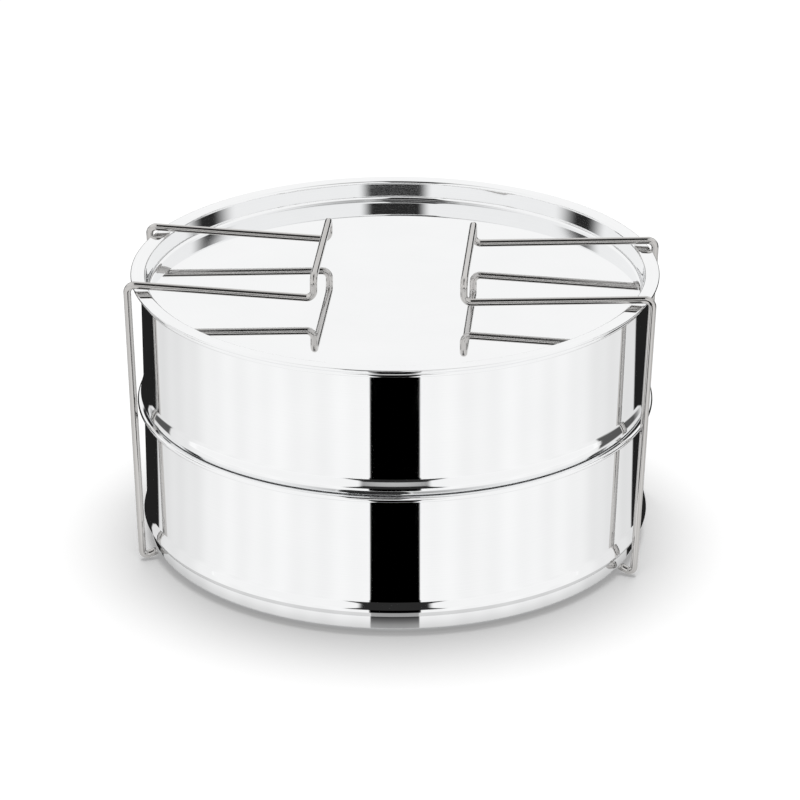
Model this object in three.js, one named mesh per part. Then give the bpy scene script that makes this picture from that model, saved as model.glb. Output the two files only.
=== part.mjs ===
// A stack of two round steaming pans with a dished lid, held together by two bent-wire bails.
// Millimetres, +Z up. The stack's axis is Z and the base of the lower pan stands at z = 0.
import * as THREE from 'three';

// Sheet steel, and the clearances between pieces that nest in or rest on each other.
const SHEET = 0.8;
const NEST_GAP = 0.4;
const SEAT_GAP = 0.3;

// One pan: a drawn-in foot, a swelled bead above it, a straight wall and a rim rolled outward.
const WALL_RADIUS = 102.5;
const PAN_HEIGHT = 60.2;
const RIM_REACH = 2.6;
const RIM_ROLL = 2.2;
const MOUTH_ROUND = 0.9;
const FOOT_HEIGHT = 8.2;
const FOOT_CORNER = 3.0;
const LEDGE_WIDTH = 0.7;
const BEVEL_HEIGHT = 2.2;
const BEAD_HEIGHT = 7.0;
const BEAD_PROUD = 1.0;
const BEAD_SWELL = 0.5;
const BEAD_CREASE = 0.3;

// The lid: a flat ring that covers the pan's rim, round a plain recess with a rounded corner.
const LID_OVERHANG = 1.4;
const LID_HEM = 1.2;
const LID_EDGE_ROUND = 0.4;
const LID_SHOULDER = 1.2;
const RECESS_DEPTH = 8.2;
const RECESS_DRAFT = 0.5;
const PANEL_CORNER = 1.6;

// One bail: two hooks, two posts, two arms over the lid, two risers and the grip between them.
const WIRE_RADIUS = 1.5;
const WIRE_BEND = 3.0;
const HEEL_BEND = 2.2;
const ARM_SPACING = 65;
const HOOK_SPACING = 85;
const POST_GAP = 1.4;
const HEEL_GAP = 3.8;
const ARM_GAP = 0.4;
const ARM_DROOP = THREE.MathUtils.degToRad(2.7);
const GRIP_FROM_AXIS = 29.8;
const GRIP_RISE = 8.74;
const HOOK_CLIMB = THREE.MathUtils.degToRad(20);
const HOOK_TIP_GAP = 1.0;
const FLOOR_GAP = 0.5;

// Facets round the stack, round the wire and along each bend.
const TURN_FACETS = 56;
const WIRE_FACETS = 10;
const BEND_FACETS = 4;
const ROUND_FACETS = 2;

// Values that follow from the sizes above.
const mouthRadius = WALL_RADIUS - SHEET;
const footRadius = mouthRadius - NEST_GAP;
const rimRadius = WALL_RADIUS + RIM_REACH;
const beadRadius = WALL_RADIUS + BEAD_PROUD;
const bevelTop = FOOT_HEIGHT + BEVEL_HEIGHT;
const beadTop = FOOT_HEIGHT + BEAD_HEIGHT;
const beadMiddle = (bevelTop + beadTop) / 2;
const upperPanBase = PAN_HEIGHT + SEAT_GAP - FOOT_HEIGHT;
const lidTop = upperPanBase + PAN_HEIGHT + SEAT_GAP + LID_HEM;
const lidRadius = rimRadius + LID_OVERHANG;
const plugRadius = mouthRadius - NEST_GAP;
const recessRadius = plugRadius - SHEET;
const lidRingInside = recessRadius + LID_SHOULDER;

const steel = (name, color, roughness) =>
  new THREE.MeshStandardMaterial({ name, color, roughness, metalness: 1 });

// Points of a round corner in a turned outline, angles in degrees from the outward direction.
function corner(radius, height, size, from, to) {
  const points = [];
  for (let step = 0; step <= ROUND_FACETS; step += 1) {
    const angle = THREE.MathUtils.degToRad(from + ((to - from) * step) / ROUND_FACETS);
    points.push([radius + size * Math.cos(angle), height + size * Math.sin(angle)]);
  }
  return points;
}

// A turned solid about Z from an outline of [radius, height] pairs that starts and ends on the axis.
function turned(outline) {
  const points = outline.map(([radius, height]) => new THREE.Vector2(radius, height));
  return new THREE.LatheGeometry(points, TURN_FACETS).rotateX(Math.PI / 2);
}

// A pan's outline: up its outside from the base, round the rim and down its inside.
function panOutline() {
  const edgeRadius = beadRadius - BEAD_SWELL;
  const rollSize = RIM_ROLL / 2;
  const rollHeight = PAN_HEIGHT - rollSize;
  return [
    [0, 0],
    ...corner(footRadius - FOOT_CORNER, FOOT_CORNER, FOOT_CORNER, -90, 0),
    [footRadius, FOOT_HEIGHT],
    [footRadius + LEDGE_WIDTH, FOOT_HEIGHT],
    [edgeRadius, bevelTop],
    [beadRadius, beadMiddle],
    [edgeRadius, beadTop - BEAD_CREASE],
    [WALL_RADIUS, beadTop],
    [WALL_RADIUS, PAN_HEIGHT - RIM_ROLL],
    ...corner(rimRadius - rollSize, rollHeight, rollSize, -90, 0),
    ...corner(rimRadius - rollSize, rollHeight, rollSize, 0, 90).slice(1),
    ...corner(mouthRadius + MOUTH_ROUND, PAN_HEIGHT - MOUTH_ROUND, MOUTH_ROUND, 90, 180),
    [mouthRadius, beadTop + SHEET / 2],
    [beadRadius - SHEET, beadMiddle],
    [footRadius - SHEET, FOOT_HEIGHT + SHEET / 2],
    ...corner(footRadius - FOOT_CORNER, FOOT_CORNER, FOOT_CORNER - SHEET, 0, -90),
    [0, SHEET],
  ];
}

// The lid's outline: out along its underside, round the ring's edge and back in along its top.
function lidOutline() {
  const panelTop = lidTop - RECESS_DEPTH;
  const cornerHeight = panelTop + PANEL_CORNER;
  const cornerRadius = recessRadius - RECESS_DRAFT - PANEL_CORNER;
  const hemBottom = lidTop - LID_HEM;
  const edgeRadius = lidRadius - LID_EDGE_ROUND;
  return [
    [0, panelTop - SHEET],
    ...corner(cornerRadius, cornerHeight, PANEL_CORNER + SHEET, -90, 0),
    [plugRadius, hemBottom],
    ...corner(edgeRadius, hemBottom + LID_EDGE_ROUND, LID_EDGE_ROUND, -90, 0),
    ...corner(edgeRadius, lidTop - LID_EDGE_ROUND, LID_EDGE_ROUND, 0, 90),
    ...corner(lidRingInside, lidTop - LID_SHOULDER, LID_SHOULDER, 90, 180),
    ...corner(cornerRadius, cornerHeight, PANEL_CORNER, 0, -90),
    [0, panelTop],
  ];
}

// A centre line through a list of stations, with one equal step of its parameter between each two.
class WireLine extends THREE.Curve {
  constructor(stations) {
    super();
    this.stations = stations;
  }

  getPoint(t, target = new THREE.Vector3()) {
    const last = this.stations.length - 1;
    const step = Math.min(Math.floor(t * last), last - 1);
    return target.lerpVectors(this.stations[step], this.stations[step + 1], t * last - step);
  }

  getPointAt(u, target) {
    return this.getPoint(u, target);
  }

  getTangentAt(u, target) {
    return this.getTangent(u, target);
  }
}

// Stations of the bend that rounds a corner of the wire's centre line.
function bend(before, corner, after, radius) {
  const back = before.clone().sub(corner).normalize();
  const onward = after.clone().sub(corner).normalize();
  const half = back.angleTo(onward) / 2;
  const centre = back.clone().add(onward).setLength(radius / Math.sin(half)).add(corner);
  const start = back.clone().multiplyScalar(radius / Math.tan(half)).add(corner).sub(centre);
  const axis = onward.clone().cross(back).normalize();
  const stations = [];
  for (let step = 0; step <= BEND_FACETS; step += 1) {
    const angle = ((Math.PI - 2 * half) * step) / BEND_FACETS;
    stations.push(start.clone().applyAxisAngle(axis, angle).add(centre));
  }
  return stations;
}

// Distance from the axis plane at which a circle of this radius stands this far to one side.
const reach = (radius, aside) => Math.sqrt(radius ** 2 - aside ** 2);

// A bail on the +X side: corner points of one half, mirrored in Y for the other half.
function bailLine() {
  const armAside = ARM_SPACING / 2;
  const hookAside = HOOK_SPACING / 2;
  const postX = reach(lidRadius, armAside) + POST_GAP + WIRE_RADIUS;
  const ringInsideX = reach(lidRingInside, armAside);
  const fall = Math.tan(ARM_DROOP);
  const shoulderZ = lidTop + ARM_GAP + WIRE_RADIUS + (postX - ringInsideX) * fall;
  const innerZ = shoulderZ - (postX - GRIP_FROM_AXIS) * fall;
  const heelX = reach(beadRadius, hookAside) + HEEL_GAP + WIRE_RADIUS;
  const heelDip = HEEL_BEND * ((1 + Math.sin(HOOK_CLIMB)) / Math.cos(HOOK_CLIMB) - 1);
  const heelZ = FLOOR_GAP + WIRE_RADIUS - heelDip;
  const heelReach = Math.hypot(heelX, hookAside);
  const tipReach = footRadius + HOOK_TIP_GAP;
  const tipShare = tipReach / heelReach;
  const tipZ = heelZ + (heelReach - tipReach) * Math.tan(HOOK_CLIMB);
  const half = [
    [heelX * tipShare, hookAside * tipShare, tipZ],
    [heelX, hookAside, heelZ],
    [postX, armAside, shoulderZ],
    [GRIP_FROM_AXIS, armAside, innerZ],
    [GRIP_FROM_AXIS, armAside, innerZ + GRIP_RISE],
  ];
  const front = half.map(([x, y, z]) => new THREE.Vector3(x, -y, z));
  const back = half.map(([x, y, z]) => new THREE.Vector3(x, y, z)).reverse();
  const corners = [...front, ...back];
  const stations = [corners[0]];
  for (let at = 1; at < corners.length - 1; at += 1) {
    const isHeel = at === 1 || at === corners.length - 2;
    const radius = isHeel ? HEEL_BEND : WIRE_BEND;
    stations.push(...bend(corners[at - 1], corners[at], corners[at + 1], radius));
  }
  stations.push(corners[corners.length - 1]);
  return new WireLine(stations);
}

// The round wire drawn along that line.
function bailGeometry() {
  const section = [];
  for (let side = 0; side < WIRE_FACETS; side += 1) {
    const angle = (2 * Math.PI * side) / WIRE_FACETS;
    section.push(new THREE.Vector2(WIRE_RADIUS * Math.cos(angle), WIRE_RADIUS * Math.sin(angle)));
  }
  const line = bailLine();
  return new THREE.ExtrudeGeometry(new THREE.Shape(section), {
    steps: line.stations.length - 1,
    extrudePath: line,
  });
}

function piece(name, geometry, material) {
  const mesh = new THREE.Mesh(geometry, material);
  mesh.name = name;
  return mesh;
}

const separator = new THREE.Group();

const lowerPan = piece('lower_container', turned(panOutline()), steel('lower polish', 0xd9dadb, 0.06));
separator.add(lowerPan);

const upperPan = piece('upper_container', turned(panOutline()), steel('upper polish', 0xd9dadb, 0.06));
upperPan.position.z = upperPanBase;
separator.add(upperPan);

separator.add(piece('lid', turned(lidOutline()), steel('lid polish', 0xdddede, 0.05)));

const rightBail = piece('right_bail', bailGeometry(), steel('right wire', 0xa39e9a, 0.25));
separator.add(rightBail);

const leftBail = piece('left_bail', bailGeometry(), steel('left wire', 0xa39e9a, 0.25));
leftBail.rotation.z = Math.PI;
separator.add(leftBail);

export default separator;
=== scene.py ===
import math

import bpy
from mathutils import Matrix, Vector


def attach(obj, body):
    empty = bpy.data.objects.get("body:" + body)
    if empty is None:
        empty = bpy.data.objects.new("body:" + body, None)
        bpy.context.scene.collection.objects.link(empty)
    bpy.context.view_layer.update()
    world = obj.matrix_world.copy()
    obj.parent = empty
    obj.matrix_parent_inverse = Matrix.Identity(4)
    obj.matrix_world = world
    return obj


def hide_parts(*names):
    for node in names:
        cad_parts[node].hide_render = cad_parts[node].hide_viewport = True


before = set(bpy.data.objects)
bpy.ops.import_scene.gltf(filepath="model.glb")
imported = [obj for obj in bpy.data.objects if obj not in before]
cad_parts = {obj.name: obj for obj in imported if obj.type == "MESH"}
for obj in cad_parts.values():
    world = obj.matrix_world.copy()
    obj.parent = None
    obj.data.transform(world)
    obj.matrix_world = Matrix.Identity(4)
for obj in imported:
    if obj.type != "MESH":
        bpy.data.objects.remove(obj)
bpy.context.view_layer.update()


# The two steaming pans. Each is deep-drawn from one disc of stainless sheet, with a stepped foot, a
# sloping bead over it and a rim rolled outward, and is buffed to a mirror while it spins.
# Nothing fixes them: the upper pan's foot drops into the mouth of the lower one.
sheet = 0.0008
nest_gap = 0.0004
seat_gap = 0.0003
wall_radius = 0.1025
mouth_radius = wall_radius - sheet
mouth_round = 0.0009
pan_height = 0.0602
foot_radius = mouth_radius - nest_gap
foot_height = 0.0082
foot_corner = 0.003
ledge_width = 0.0014
bevel_height = 0.0022
bead_height = 0.007
bead_proud = 0.001
bead_face_round = 0.008
rim_reach = 0.0026
rim_roll = 0.0022
bead_radius = wall_radius + bead_proud
bevel_top = foot_height + bevel_height
bead_top = foot_height + bead_height
bead_middle = (bevel_top + bead_top) / 2
rim_radius = wall_radius + rim_reach
rim_round = rim_roll * 0.499
upper_pan_base = pan_height + seat_gap - foot_height


def rounded_outline(corners):
    """The outline of a turned piece: (radius, height, rounding) corners, each rounding an arc."""
    arc_step = math.radians(8)
    fewest_steps = 4
    long_straight = 0.0008
    straight_end = 0.0002
    runs = []
    for at, (radius, height, rounding) in enumerate(corners):
        here = Vector((radius, height))
        if rounding == 0:
            runs.append([here])
            continue
        back = (Vector(corners[at - 1][:2]) - here).normalized()
        onward = (Vector(corners[at + 1][:2]) - here).normalized()
        half = back.angle(onward) / 2
        centre = here + (back + onward).normalized() * (rounding / math.sin(half))
        start = here + back * (rounding / math.tan(half)) - centre
        turn = math.pi - 2 * half
        if onward.x * back.y - onward.y * back.x < 0:
            turn = -turn
        steps = max(fewest_steps, round(abs(turn) / arc_step))
        run = []
        for step in range(steps + 1):
            angle = turn * step / steps
            run.append(centre + Matrix.Rotation(angle, 2) @ start)
        runs.append(run)
    points = list(runs[0])
    for run in runs[1:]:
        straight = run[0] - points[-1]
        if straight.length > long_straight:
            inset = straight.normalized() * straight_end
            points.extend([points[-1] + inset, run[0] - inset])
        points.extend(run)
    return points


def turned_piece(name, outline, base=0.0, slices=320):
    """A closed piece turned about Z from an outline that starts and ends on the axis."""
    on_axis = 1e-6
    verts = []
    rings = []
    for point in outline:
        ring = []
        for slice_number in range(slices if point.x > on_axis else 1):
            angle = 2 * math.pi * slice_number / slices
            ring.append(len(verts))
            verts.append((point.x * math.cos(angle), point.x * math.sin(angle), base + point.y))
        rings.append(ring)
    faces = []
    for lower, upper in zip(rings[:-1], rings[1:]):
        for here in range(slices):
            after = (here + 1) % slices
            corners = [
                lower[here % len(lower)],
                lower[after % len(lower)],
                upper[after % len(upper)],
                upper[here % len(upper)],
            ]
            faces.append(list(dict.fromkeys(corners)))
    mesh = bpy.data.meshes.new(name)
    mesh.from_pydata(verts, [], faces)
    mesh.shade_smooth()
    piece = bpy.data.objects.new(name, mesh)
    bpy.context.scene.collection.objects.link(piece)
    return piece


pan_outline = rounded_outline([
    (0, 0, 0),
    (foot_radius, 0, foot_corner),
    (foot_radius, foot_height, 0.0003),
    (foot_radius + ledge_width, foot_height, 0.0004),
    (wall_radius + 0.00128, bevel_top, 0.0003),
    (wall_radius + 0.00104, bevel_top + 0.0012, bead_face_round),
    (wall_radius + 0.0002, bead_top - 0.001, bead_face_round),
    (wall_radius, bead_top, 0.0012),
    (wall_radius, pan_height - rim_roll, 0.0002),
    (rim_radius, pan_height - rim_roll, rim_round),
    (rim_radius, pan_height, rim_round),
    (mouth_radius, pan_height, mouth_round),
    (mouth_radius, bead_top + sheet / 2, 0.0008),
    (bead_radius - sheet, bead_middle, 0.0020),
    (foot_radius - sheet, foot_height + sheet / 2, 0.0005),
    (foot_radius - sheet, sheet, foot_corner - sheet),
    (0, sheet, 0),
])


def node(tree, kind, inputs, **settings):
    """A shader node with its settings, and its inputs given as values or as other nodes' outputs."""
    made = tree.nodes.new(kind)
    for name, value in settings.items():
        setattr(made, name, value)
    for socket, value in inputs.items():
        if isinstance(value, bpy.types.NodeSocket):
            tree.links.new(value, made.inputs[socket])
        else:
            made.inputs[socket].default_value = value
    return made


def fresh_material(name):
    """An empty node material, its tree and the output node left in it."""
    material = bpy.data.materials.new(name)
    material.use_nodes = True
    tree = material.node_tree
    tree.nodes.clear()
    output = tree.nodes.new("ShaderNodeOutputMaterial")
    return material, tree, output


def buffed_steel(name, smooth, hazy):
    """Mirror steel buffed on a lathe: fine rings, faint haze and a slight waviness of the sheet."""
    dull = (0.88, 0.885, 0.89, 1)
    bright = (0.97, 0.972, 0.975, 1)
    material, tree, output = fresh_material(name)
    place = node(tree, "ShaderNodeTexCoord", {}).outputs["Object"]
    axes = node(tree, "ShaderNodeSeparateXYZ", {"Vector": place}).outputs
    across = node(tree, "ShaderNodeCombineXYZ", {"X": axes["X"], "Y": axes["Y"]}).outputs["Vector"]
    radius = node(tree, "ShaderNodeVectorMath", {0: across}, operation="LENGTH").outputs["Value"]
    ring = node(tree, "ShaderNodeCombineXYZ", {"X": radius, "Y": axes["Z"]}).outputs["Vector"]
    rings = node(tree, "ShaderNodeTexNoise", {
        "Vector": ring, "Scale": 2400.0, "Detail": 3.0,
    }).outputs["Fac"]
    haze = node(tree, "ShaderNodeTexNoise", {
        "Vector": place, "Scale": 38.0, "Detail": 5.0,
    }).outputs["Fac"]
    waves = node(tree, "ShaderNodeTexNoise", {
        "Vector": place, "Scale": 16.0, "Detail": 1.0,
    }).outputs["Fac"]
    wear = node(tree, "ShaderNodeMath", {0: rings, 1: haze}, operation="MULTIPLY").outputs["Value"]
    colour = node(tree, "ShaderNodeMix", {"Factor": wear, "A": dull, "B": bright}, data_type="RGBA")
    rough = node(tree, "ShaderNodeMapRange", {
        "Value": wear, "From Min": 0.1, "From Max": 0.45, "To Min": hazy, "To Max": smooth,
    })
    dents = node(tree, "ShaderNodeBump", {"Height": waves, "Strength": 1.0, "Distance": 0.00002})
    lines = node(tree, "ShaderNodeBump", {
        "Height": rings, "Strength": 0.3, "Distance": 0.000001, "Normal": dents.outputs["Normal"],
    })
    steel = node(tree, "ShaderNodeBsdfPrincipled", {
        "Metallic": 1.0,
        "Base Color": colour.outputs["Result"],
        "Roughness": rough.outputs["Result"],
        "Normal": lines.outputs["Normal"],
    })
    tree.links.new(steel.outputs["BSDF"], output.inputs["Surface"])
    return material


pan_steel = buffed_steel("buffed pan steel", 0.015, 0.05)
for pan_name, pan_node, pan_base in (
    ("steaming_pan_lower", "lower_container", 0.0),
    ("steaming_pan_upper", "upper_container", upper_pan_base),
):
    pan = turned_piece(pan_name, pan_outline, pan_base)
    pan.data.materials.append(pan_steel)
    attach(pan, pan_node)
    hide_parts(pan_node)


# The lid. It is pressed from one disc of the same sheet: a flat hemmed ring that rests on the upper
# pan's rim, and a plain round-cornered recess that drops into the pan's mouth.
# It is loose, held down only by the wire bails' arms.
lid_hem = 0.0012
lid_overhang = 0.0014
lid_edge_round = 0.0005
lid_shoulder = 0.0012
recess_depth = 0.0082
recess_draft = 0.0005
panel_corner = 0.0016
lid_top = upper_pan_base + pan_height + seat_gap + lid_hem
lid_radius = rim_radius + lid_overhang
hem_bottom = lid_top - lid_hem
plug_radius = mouth_radius - nest_gap
recess_radius = plug_radius - sheet
ring_inside = recess_radius + lid_shoulder
panel_radius = recess_radius - recess_draft
panel_top = lid_top - recess_depth

lid_outline = rounded_outline([
    (0, panel_top - sheet, 0),
    (panel_radius + sheet, panel_top - sheet, panel_corner + sheet),
    (plug_radius, hem_bottom, 0.0004),
    (lid_radius, hem_bottom, lid_edge_round),
    (lid_radius, lid_top, lid_edge_round),
    (recess_radius, lid_top, lid_shoulder),
    (panel_radius, panel_top, panel_corner),
    (0, panel_top, 0),
])
lid = turned_piece("dished_lid", lid_outline)
lid.data.materials.append(buffed_steel("buffed lid steel", 0.015, 0.04))
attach(lid, "lid")
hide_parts("lid")


# The two bails. Each is one length of round stainless wire, bent cold into hooks, posts, arms, risers
# and a grip, and left satin from drawing. The hooks catch under the lower pan's bead, the arms lie
# across the lid's ring, and the grips stand over the recess to lift the stack by.
wire_radius = 0.0015
wire_bend = 0.003
heel_bend = 0.0022
arm_aside = 0.0325
hook_aside = 0.0425
arm_droop = math.tan(math.radians(2.7))
hook_climb = math.radians(20)
grip_from_axis = 0.0298
grip_rise = 0.00872
post_gap = 0.0014
arm_gap = 0.0004
heel_gap = 0.0038
floor_gap = 0.0005
tip_gap = 0.001
post_from_axis = math.sqrt(lid_radius**2 - arm_aside**2) + post_gap + wire_radius
ring_from_axis = math.sqrt(ring_inside**2 - arm_aside**2)
shoulder_height = lid_top + arm_gap + wire_radius + (post_from_axis - ring_from_axis) * arm_droop
riser_foot = shoulder_height - (post_from_axis - grip_from_axis) * arm_droop
heel_from_axis = math.sqrt(bead_radius**2 - hook_aside**2) + heel_gap + wire_radius
heel_dip = heel_bend * ((1 + math.sin(hook_climb)) / math.cos(hook_climb) - 1)
heel_height = floor_gap + wire_radius - heel_dip
heel_reach = math.hypot(heel_from_axis, hook_aside)
tip_share = (foot_radius + tip_gap) / heel_reach
tip_height = heel_height + heel_reach * (1 - tip_share) * math.tan(hook_climb)
half_bail = [
    Vector((heel_from_axis * tip_share, -hook_aside * tip_share, tip_height)),
    Vector((heel_from_axis, -hook_aside, heel_height)),
    Vector((post_from_axis, -arm_aside, shoulder_height)),
    Vector((grip_from_axis, -arm_aside, riser_foot)),
    Vector((grip_from_axis, -arm_aside, riser_foot + grip_rise)),
]
other_half = [Vector((place.x, -place.y, place.z)) for place in reversed(half_bail)]
bail_corners = half_bail + other_half


def wire_line(corners):
    """Points along the wire's centre, with round bends and close points on the straight runs."""
    bend_steps = 12
    straight_step = 0.006
    points = [corners[0]]
    for at in range(1, len(corners)):
        if at == len(corners) - 1:
            run = [corners[at]]
        else:
            bend = heel_bend if at in (1, len(corners) - 2) else wire_bend
            here = corners[at]
            back = (corners[at - 1] - here).normalized()
            onward = (corners[at + 1] - here).normalized()
            half = back.angle(onward) / 2
            centre = here + (back + onward).normalized() * (bend / math.sin(half))
            start = here + back * (bend / math.tan(half)) - centre
            axle = onward.cross(back).normalized()
            run = []
            for step in range(bend_steps + 1):
                angle = (math.pi - 2 * half) * step / bend_steps
                run.append(centre + Matrix.Rotation(angle, 3, axle) @ start)
        straight = run[0] - points[-1]
        pieces = max(2, round(straight.length / straight_step))
        for step in range(1, pieces):
            points.append(run[0] - straight * (1 - step / pieces))
        points.extend(run)
    return points


def drawn_wire(name, line, sides=28):
    """A round wire along a line, with broken edges at its cut ends and a length-by-turn UV map."""
    chamfer = 0.00025
    first = (line[1] - line[0]).normalized()
    last = (line[-1] - line[-2]).normalized()
    centres = [line[0], line[0] + first * chamfer] + line[1:-1] + [line[-1] - last * chamfer, line[-1]]
    radii = [wire_radius - chamfer] + [wire_radius] * (len(centres) - 2) + [wire_radius - chamfer]
    side = first.orthogonal().normalized()
    verts = []
    lengths = []
    travelled = 0.0
    for at, (centre, radius) in enumerate(zip(centres, radii)):
        ahead = (centres[min(at + 1, len(centres) - 1)] - centres[max(at - 1, 0)]).normalized()
        side = (side - ahead * side.dot(ahead)).normalized()
        if at > 0:
            travelled += (centre - centres[at - 1]).length
        lengths.append(travelled)
        for turn in range(sides):
            angle = 2 * math.pi * turn / sides
            spoke = math.cos(angle) * side + math.sin(angle) * ahead.cross(side)
            verts.append(centre + radius * spoke)
    faces = []
    for at in range(len(centres) - 1):
        near = at * sides
        far = near + sides
        for turn in range(sides):
            after = (turn + 1) % sides
            faces.append((near + turn, near + after, far + after, far + turn))
    faces.append(tuple(reversed(range(sides))))
    faces.append(tuple(range((len(centres) - 1) * sides, len(centres) * sides)))
    mesh = bpy.data.meshes.new(name)
    mesh.from_pydata(verts, [], faces)
    mesh.shade_smooth()
    wrap = mesh.uv_layers.new(name="along_and_round")
    for face in mesh.polygons:
        for corner, loop in enumerate(face.loop_indices):
            vert = mesh.loops[loop].vertex_index
            turn = vert % sides
            if len(face.vertices) == 4 and turn == 0 and corner in (1, 2):
                turn = sides
            wrap.data[loop].uv = (lengths[vert // sides], turn / sides)
    piece = bpy.data.objects.new(name, mesh)
    bpy.context.scene.collection.objects.link(piece)
    return piece


wire_steel, tree, output = fresh_material("satin drawn wire")
wrap = node(tree, "ShaderNodeUVMap", {}, uv_map="along_and_round").outputs["UV"]
wrap_axes = node(tree, "ShaderNodeSeparateXYZ", {"Vector": wrap}).outputs
turn = node(tree, "ShaderNodeMath", {0: wrap_axes["Y"], 1: 2 * math.pi}, operation="MULTIPLY")
round_x = node(tree, "ShaderNodeMath", {0: turn.outputs["Value"]}, operation="COSINE")
round_y = node(tree, "ShaderNodeMath", {0: turn.outputs["Value"]}, operation="SINE")
drawn = node(tree, "ShaderNodeCombineXYZ", {
    "X": round_x.outputs["Value"], "Y": round_y.outputs["Value"], "Z": wrap_axes["X"],
}).outputs["Vector"]
streaks = node(tree, "ShaderNodeTexNoise", {"Vector": drawn, "Scale": 3.0, "Detail": 4.0})
rubbed = node(tree, "ShaderNodeTexNoise", {
    "Vector": node(tree, "ShaderNodeTexCoord", {}).outputs["Object"], "Scale": 60.0, "Detail": 3.0,
})
wire_colour = node(tree, "ShaderNodeMix", {
    "Factor": streaks.outputs["Fac"], "A": (0.30, 0.29, 0.28, 1), "B": (0.82, 0.805, 0.79, 1),
}, data_type="RGBA")
wire_rough = node(tree, "ShaderNodeMapRange", {
    "Value": rubbed.outputs["Fac"], "From Min": 0.3, "From Max": 0.7, "To Min": 0.05, "To Max": 0.12,
})
wire_lines = node(tree, "ShaderNodeBump", {
    "Height": streaks.outputs["Fac"], "Strength": 0.4, "Distance": 0.00001,
})
wire_shader = node(tree, "ShaderNodeBsdfPrincipled", {
    "Metallic": 1.0,
    "Base Color": wire_colour.outputs["Result"],
    "Roughness": wire_rough.outputs["Result"],
    "Normal": wire_lines.outputs["Normal"],
})
tree.links.new(wire_shader.outputs["BSDF"], output.inputs["Surface"])

for bail_name, bail_node, half_turn in (
    ("wire_bail_right", "right_bail", 0.0),
    ("wire_bail_left", "left_bail", math.pi),
):
    turned_corners = [Matrix.Rotation(half_turn, 3, "Z") @ place for place in bail_corners]
    bail = drawn_wire(bail_name, wire_line(turned_corners))
    bail.data.materials.append(wire_steel)
    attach(bail, bail_node)
    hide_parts(bail_node)


# The studio floor and air round the stack: a wide white table, matt, with nothing behind it.
# The table takes the stack's soft shadow, and elsewhere it is as white as the air.
def seen_at_all(tree):
    """1 for what the camera sees, straight, mirrored or through glass, and 0 for soft light."""
    seen = node(tree, "ShaderNodeLightPath", {}).outputs
    seen_or_mirrored = node(tree, "ShaderNodeMath", {
        0: seen["Is Camera Ray"], 1: seen["Is Glossy Ray"],
    }, operation="MAXIMUM").outputs["Value"]
    return node(tree, "ShaderNodeMath", {
        0: seen_or_mirrored, 1: seen["Is Transmission Ray"],
    }, operation="MAXIMUM").outputs["Value"]


table_half = 9
table_white = (0.74, 0.74, 0.74, 1)
table_lift = 0.32
air_soft_light = 0.22
floor_mesh = bpy.data.meshes.new("studio_table")
floor_mesh.from_pydata([
    (-table_half, -table_half, 0),
    (table_half, -table_half, 0),
    (table_half, table_half, 0),
    (-table_half, table_half, 0),
], [], [(0, 1, 2, 3)])
floor = bpy.data.objects.new("studio_table", floor_mesh)
floor.location.z = -0.0001
bpy.context.scene.collection.objects.link(floor)
floor_white, tree, output = fresh_material("white table")
lift = node(tree, "ShaderNodeMath", {
    0: seen_at_all(tree), 1: table_lift,
}, operation="MULTIPLY").outputs["Value"]
matt = node(tree, "ShaderNodeBsdfDiffuse", {"Color": table_white})
glow = node(tree, "ShaderNodeEmission", {"Color": (1, 1, 1, 1), "Strength": lift})
table_look = node(tree, "ShaderNodeAddShader", {0: matt.outputs["BSDF"], 1: glow.outputs["Emission"]})
tree.links.new(table_look.outputs["Shader"], output.inputs["Surface"])
floor_mesh.materials.append(floor_white)

studio = bpy.data.worlds.new("white studio")
studio.use_nodes = True
tree = studio.node_tree
air = tree.nodes["Background"]
air.inputs["Color"].default_value = (1, 1, 1, 1)
air_white = node(tree, "ShaderNodeMapRange", {
    "Value": seen_at_all(tree), "To Min": air_soft_light, "To Max": 1.0,
})
tree.links.new(air_white.outputs["Result"], air.inputs["Strength"])
bpy.context.scene.world = studio


# The cards that give the polished steel its dark edges, as a product studio sets them: one along the
# table, upright ones and thin strips round the stack, a sheet overhead and a strip arched over the
# camera. Each is seen only in the steel, and most fade to white at their borders. They are no lamps:
# each glows with its own tone, so its white and its dark bands are painted reflections in the steel.
camera_turn = math.radians(4.4)
# Each card glows with its tone and lights nothing: the glow is a painted reflection, white or dark.
painted_reflection_card, tree, output = fresh_material("painted reflection card")
painted_reflection_card.cycles.emission_sampling = "NONE"
tone = node(tree, "ShaderNodeAttribute", {}, attribute_name="tone").outputs["Fac"]
grey = node(tree, "ShaderNodeEmission", {"Color": (1, 1, 1, 1), "Strength": tone})
tree.links.new(grey.outputs["Emission"], output.inputs["Surface"])


def card(name, columns, rows, place_at, tone_at):
    """A sheet of card laid out by two shares, each from 0 to 1, with a grey tone at each point."""
    verts = []
    tones = []
    for row in range(rows + 1):
        for column in range(columns + 1):
            verts.append(Matrix.Rotation(camera_turn, 3, "Z") @ place_at(column / columns, row / rows))
            tones.append(tone_at(column / columns, row / rows))
    faces = []
    for row in range(rows):
        for column in range(columns):
            corner = row * (columns + 1) + column
            faces.append((corner, corner + 1, corner + columns + 2, corner + columns + 1))
    mesh = bpy.data.meshes.new(name)
    mesh.from_pydata(verts, [], faces)
    mesh.attributes.new("tone", "FLOAT", "POINT").data.foreach_set("value", tones)
    mesh.materials.append(painted_reflection_card)
    made = bpy.data.objects.new(name, mesh)
    bpy.context.scene.collection.objects.link(made)
    made.visible_camera = False
    made.visible_diffuse = False
    made.visible_transmission = False
    made.visible_shadow = False


def soft_step(value, start, end):
    """0 before start, 1 after end, and a smooth rise between them."""
    share = min(1.0, max(0.0, (value - start) / (end - start)))
    return share * share * (3 - 2 * share)


widest_turn = 88
table_reach = 2.5
clear_of_wall = 0.001
clear_of_table = 0.0003


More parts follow.
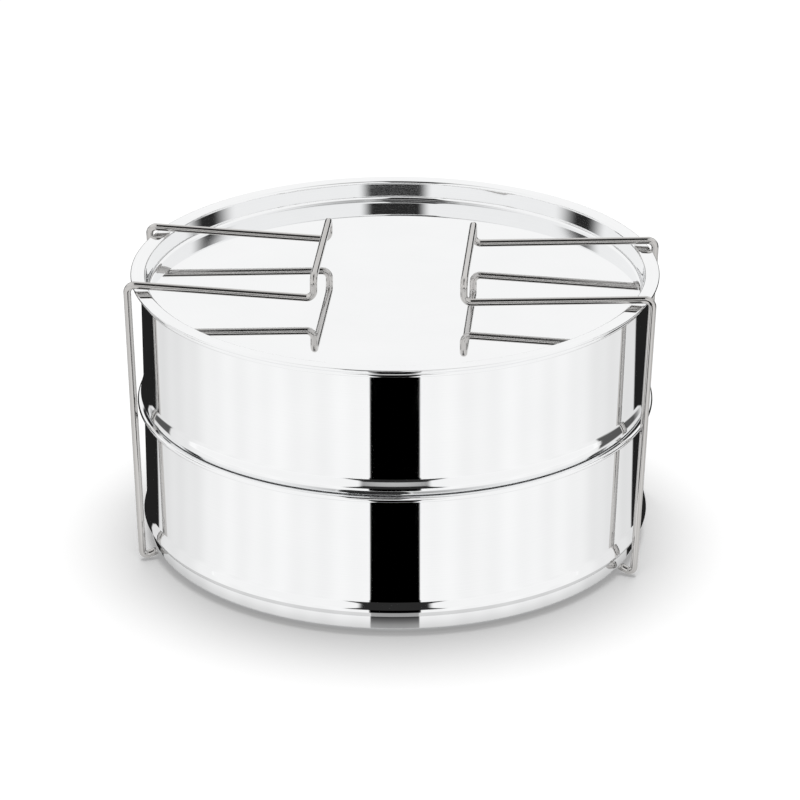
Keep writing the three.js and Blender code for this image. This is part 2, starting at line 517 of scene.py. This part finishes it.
def table_card_place(across, along):
    """A point of the table that the wall mirrors to the camera, from the wall's own angle."""
    angle = math.radians(widest_turn * (2 * across - 1))
    reach = clear_of_wall + table_reach * along**3
    x = wall_radius * math.sin(angle) + reach * math.sin(2 * angle)
    y = -wall_radius * math.cos(angle) - reach * math.cos(2 * angle)
    return Vector((x, y, clear_of_table))


def painted_reflection_tone(across, along):
    """Painted reflection in the walls: white, but black towards the camera and dark beyond the stack's
    sides, greyer towards the sides as painted shade, and darker next to the wall as a painted contact
    shadow.
    """
    turn = widest_turn * (2 * across - 1)
    angle = abs(turn)
    reach = table_reach * along**3
    # Painted shade: the walls' reflection turns greyer towards the stack's sides.
    sides = 1 - 0.2 * soft_step(angle, 35, 68)
    beyond = soft_step(reach, 0.3, 0.4) * max(soft_step(turn, 49, 50), soft_step(-turn, 57, 58))
    edges = 1 - max(0.98 * soft_step(angle, 69.5, 70.5), 0.88 * beyond)
    # Painted contact shadow: the reflection is darker next to the wall, where this card hides the
    # table's real shadow.
    near = 0.72 + 0.28 * soft_step(reach, 0.0, 0.015)
    # Faint painted streaks in the reflection.
    streaks = 1 - 0.015 * (math.sin(0.9 * angle) + math.sin(0.37 * angle + 1))
    white = sides * edges * near * streaks
    # The black band towards the camera, half as dark next to the wall: painted reflection.
    black = (1 - soft_step(angle, 5.35, 5.65)) * (0.5 + 0.5 * soft_step(reach, 0.001, 0.013))
    return white * (1 - black)


card("card_on_table", 880, 40, table_card_place, painted_reflection_tone)


def upright_card(name, azimuth, half_width, low, high, taper, fade):
    """An upright dark card at an azimuth from the camera, between two heights in degrees."""
    distance = 2.4
    darkness = 0.975

    def place_at(across, along):
        narrowing = 1 - taper * soft_step(along, 0, 0.8)
        angle = math.radians(azimuth + half_width * narrowing * (2 * across - 1))
        height = math.tan(math.radians(low + (high - low) * along))
        return distance * Vector((math.sin(angle), -math.cos(angle), height))

    def tone_at(across, along):
        inside = soft_step(min(across, 1 - across), 0.0, fade)
        below_top = soft_step(1 - along, 0.0, 0.15)
        return 1 - darkness * inside * below_top

    card(name, 48, 24, place_at, tone_at)


upright_card("card_by_camera", 0, 23, -0.3, 13, 0.32, 0.08)
upright_card("low_strip_by_camera", 0, 18, 15.6, 16.8, 0, 0.2)
upright_card("high_strip_by_camera", 0, 18, 29.2, 31.8, 0, 0.2)
upright_card("card_behind_left", -148, 28, -0.3, 13, 0, 0.08)
upright_card("card_behind_right", 136, 40, -0.3, 13, 0, 0.08)
for side, azimuth in (("left", -100), ("right", 100)):
    upright_card("low_strip_" + side, azimuth, 19, 16.8, 20, 0, 0.42)
    upright_card("high_strip_" + side, azimuth, 19, 24, 29, 0, 0.42)


def ceiling_place(across, along):
    """A point of the sheet hung over the stack."""
    width = 1.8
    depth = 1.6
    height = 1.6
    corner = -0.9
    return Vector((corner + width * across, corner + depth * along, height))


def ceiling_tone(across, along):
    """Grey, and lighter towards the sheet's borders."""
    inside = soft_step(min(across, 1 - across), 0.0, 0.4) * soft_step(min(along, 1 - along), 0.0, 0.3)
    return 1 - 0.55 * inside


card("card_overhead", 20, 20, ceiling_place, ceiling_tone)


def arch_place(across, along):
    """A point of the strip that arches up over the camera, where the bails' straight arms mirror it."""
    distance = 1.4
    left, right = -0.24, 0.10
    low, high = math.radians(38), math.radians(95)
    aside = left + (right - left) * across
    climb = low + (high - low) * along
    level = math.sqrt(1 - aside**2)
    place = distance * Vector((aside, -level * math.cos(climb), level * math.sin(climb)))
    return Matrix.Rotation(-camera_turn, 3, "Z") @ place


def arch_tone(across, along):
    """Dark, and white at its sides and its upper end."""
    return 1 - 0.97 * soft_step(min(across, 1 - across), 0.0, 0.06) * soft_step(1 - along, 0.0, 0.06)


card("card_arched_over", 40, 40, arch_place, arch_tone)


# The lamp: a wide, even light from overhead and a little behind the stack.
# It gives the table its white and the stack its close soft shadow.
overhead = bpy.data.lights.new("overhead_light", "SUN")
overhead.angle = math.radians(36)
overhead.energy = 2.5
overhead_stand = bpy.data.objects.new("overhead_light", overhead)
overhead_stand.location = (0, 0.2, 1.3)
overhead_stand.rotation_euler = (math.radians(-6), 0, 0)
overhead_stand.visible_glossy = False
bpy.context.scene.collection.objects.link(overhead_stand)


# The camera: a long lens well back from the stack, 24 degrees above the table, a few degrees round
# from square to the grips. The photograph's own frame is square.
camera_distance = 1.4
camera_height = 0.6664
camera_round = math.radians(4.47)
camera_aim = math.radians(4.388)
camera_dip = math.radians(23.57)
lens = bpy.data.cameras.new("long_lens")
lens.sensor_width = 36
lens.lens = 167.8
lens.clip_start = 0.05
lens.clip_end = 50
tripod = bpy.data.objects.new("long_lens", lens)
tripod.location = Matrix.Rotation(camera_round, 3, "Z") @ Vector((0, -camera_distance, camera_height))
tripod.rotation_euler = (math.pi / 2 - camera_dip, 0, camera_aim)
bpy.context.scene.collection.objects.link(tripod)
bpy.context.scene.camera = tripod
bpy.context.scene.view_settings.view_transform = "Standard"
bpy.context.scene.cycles.caustics_reflective = False
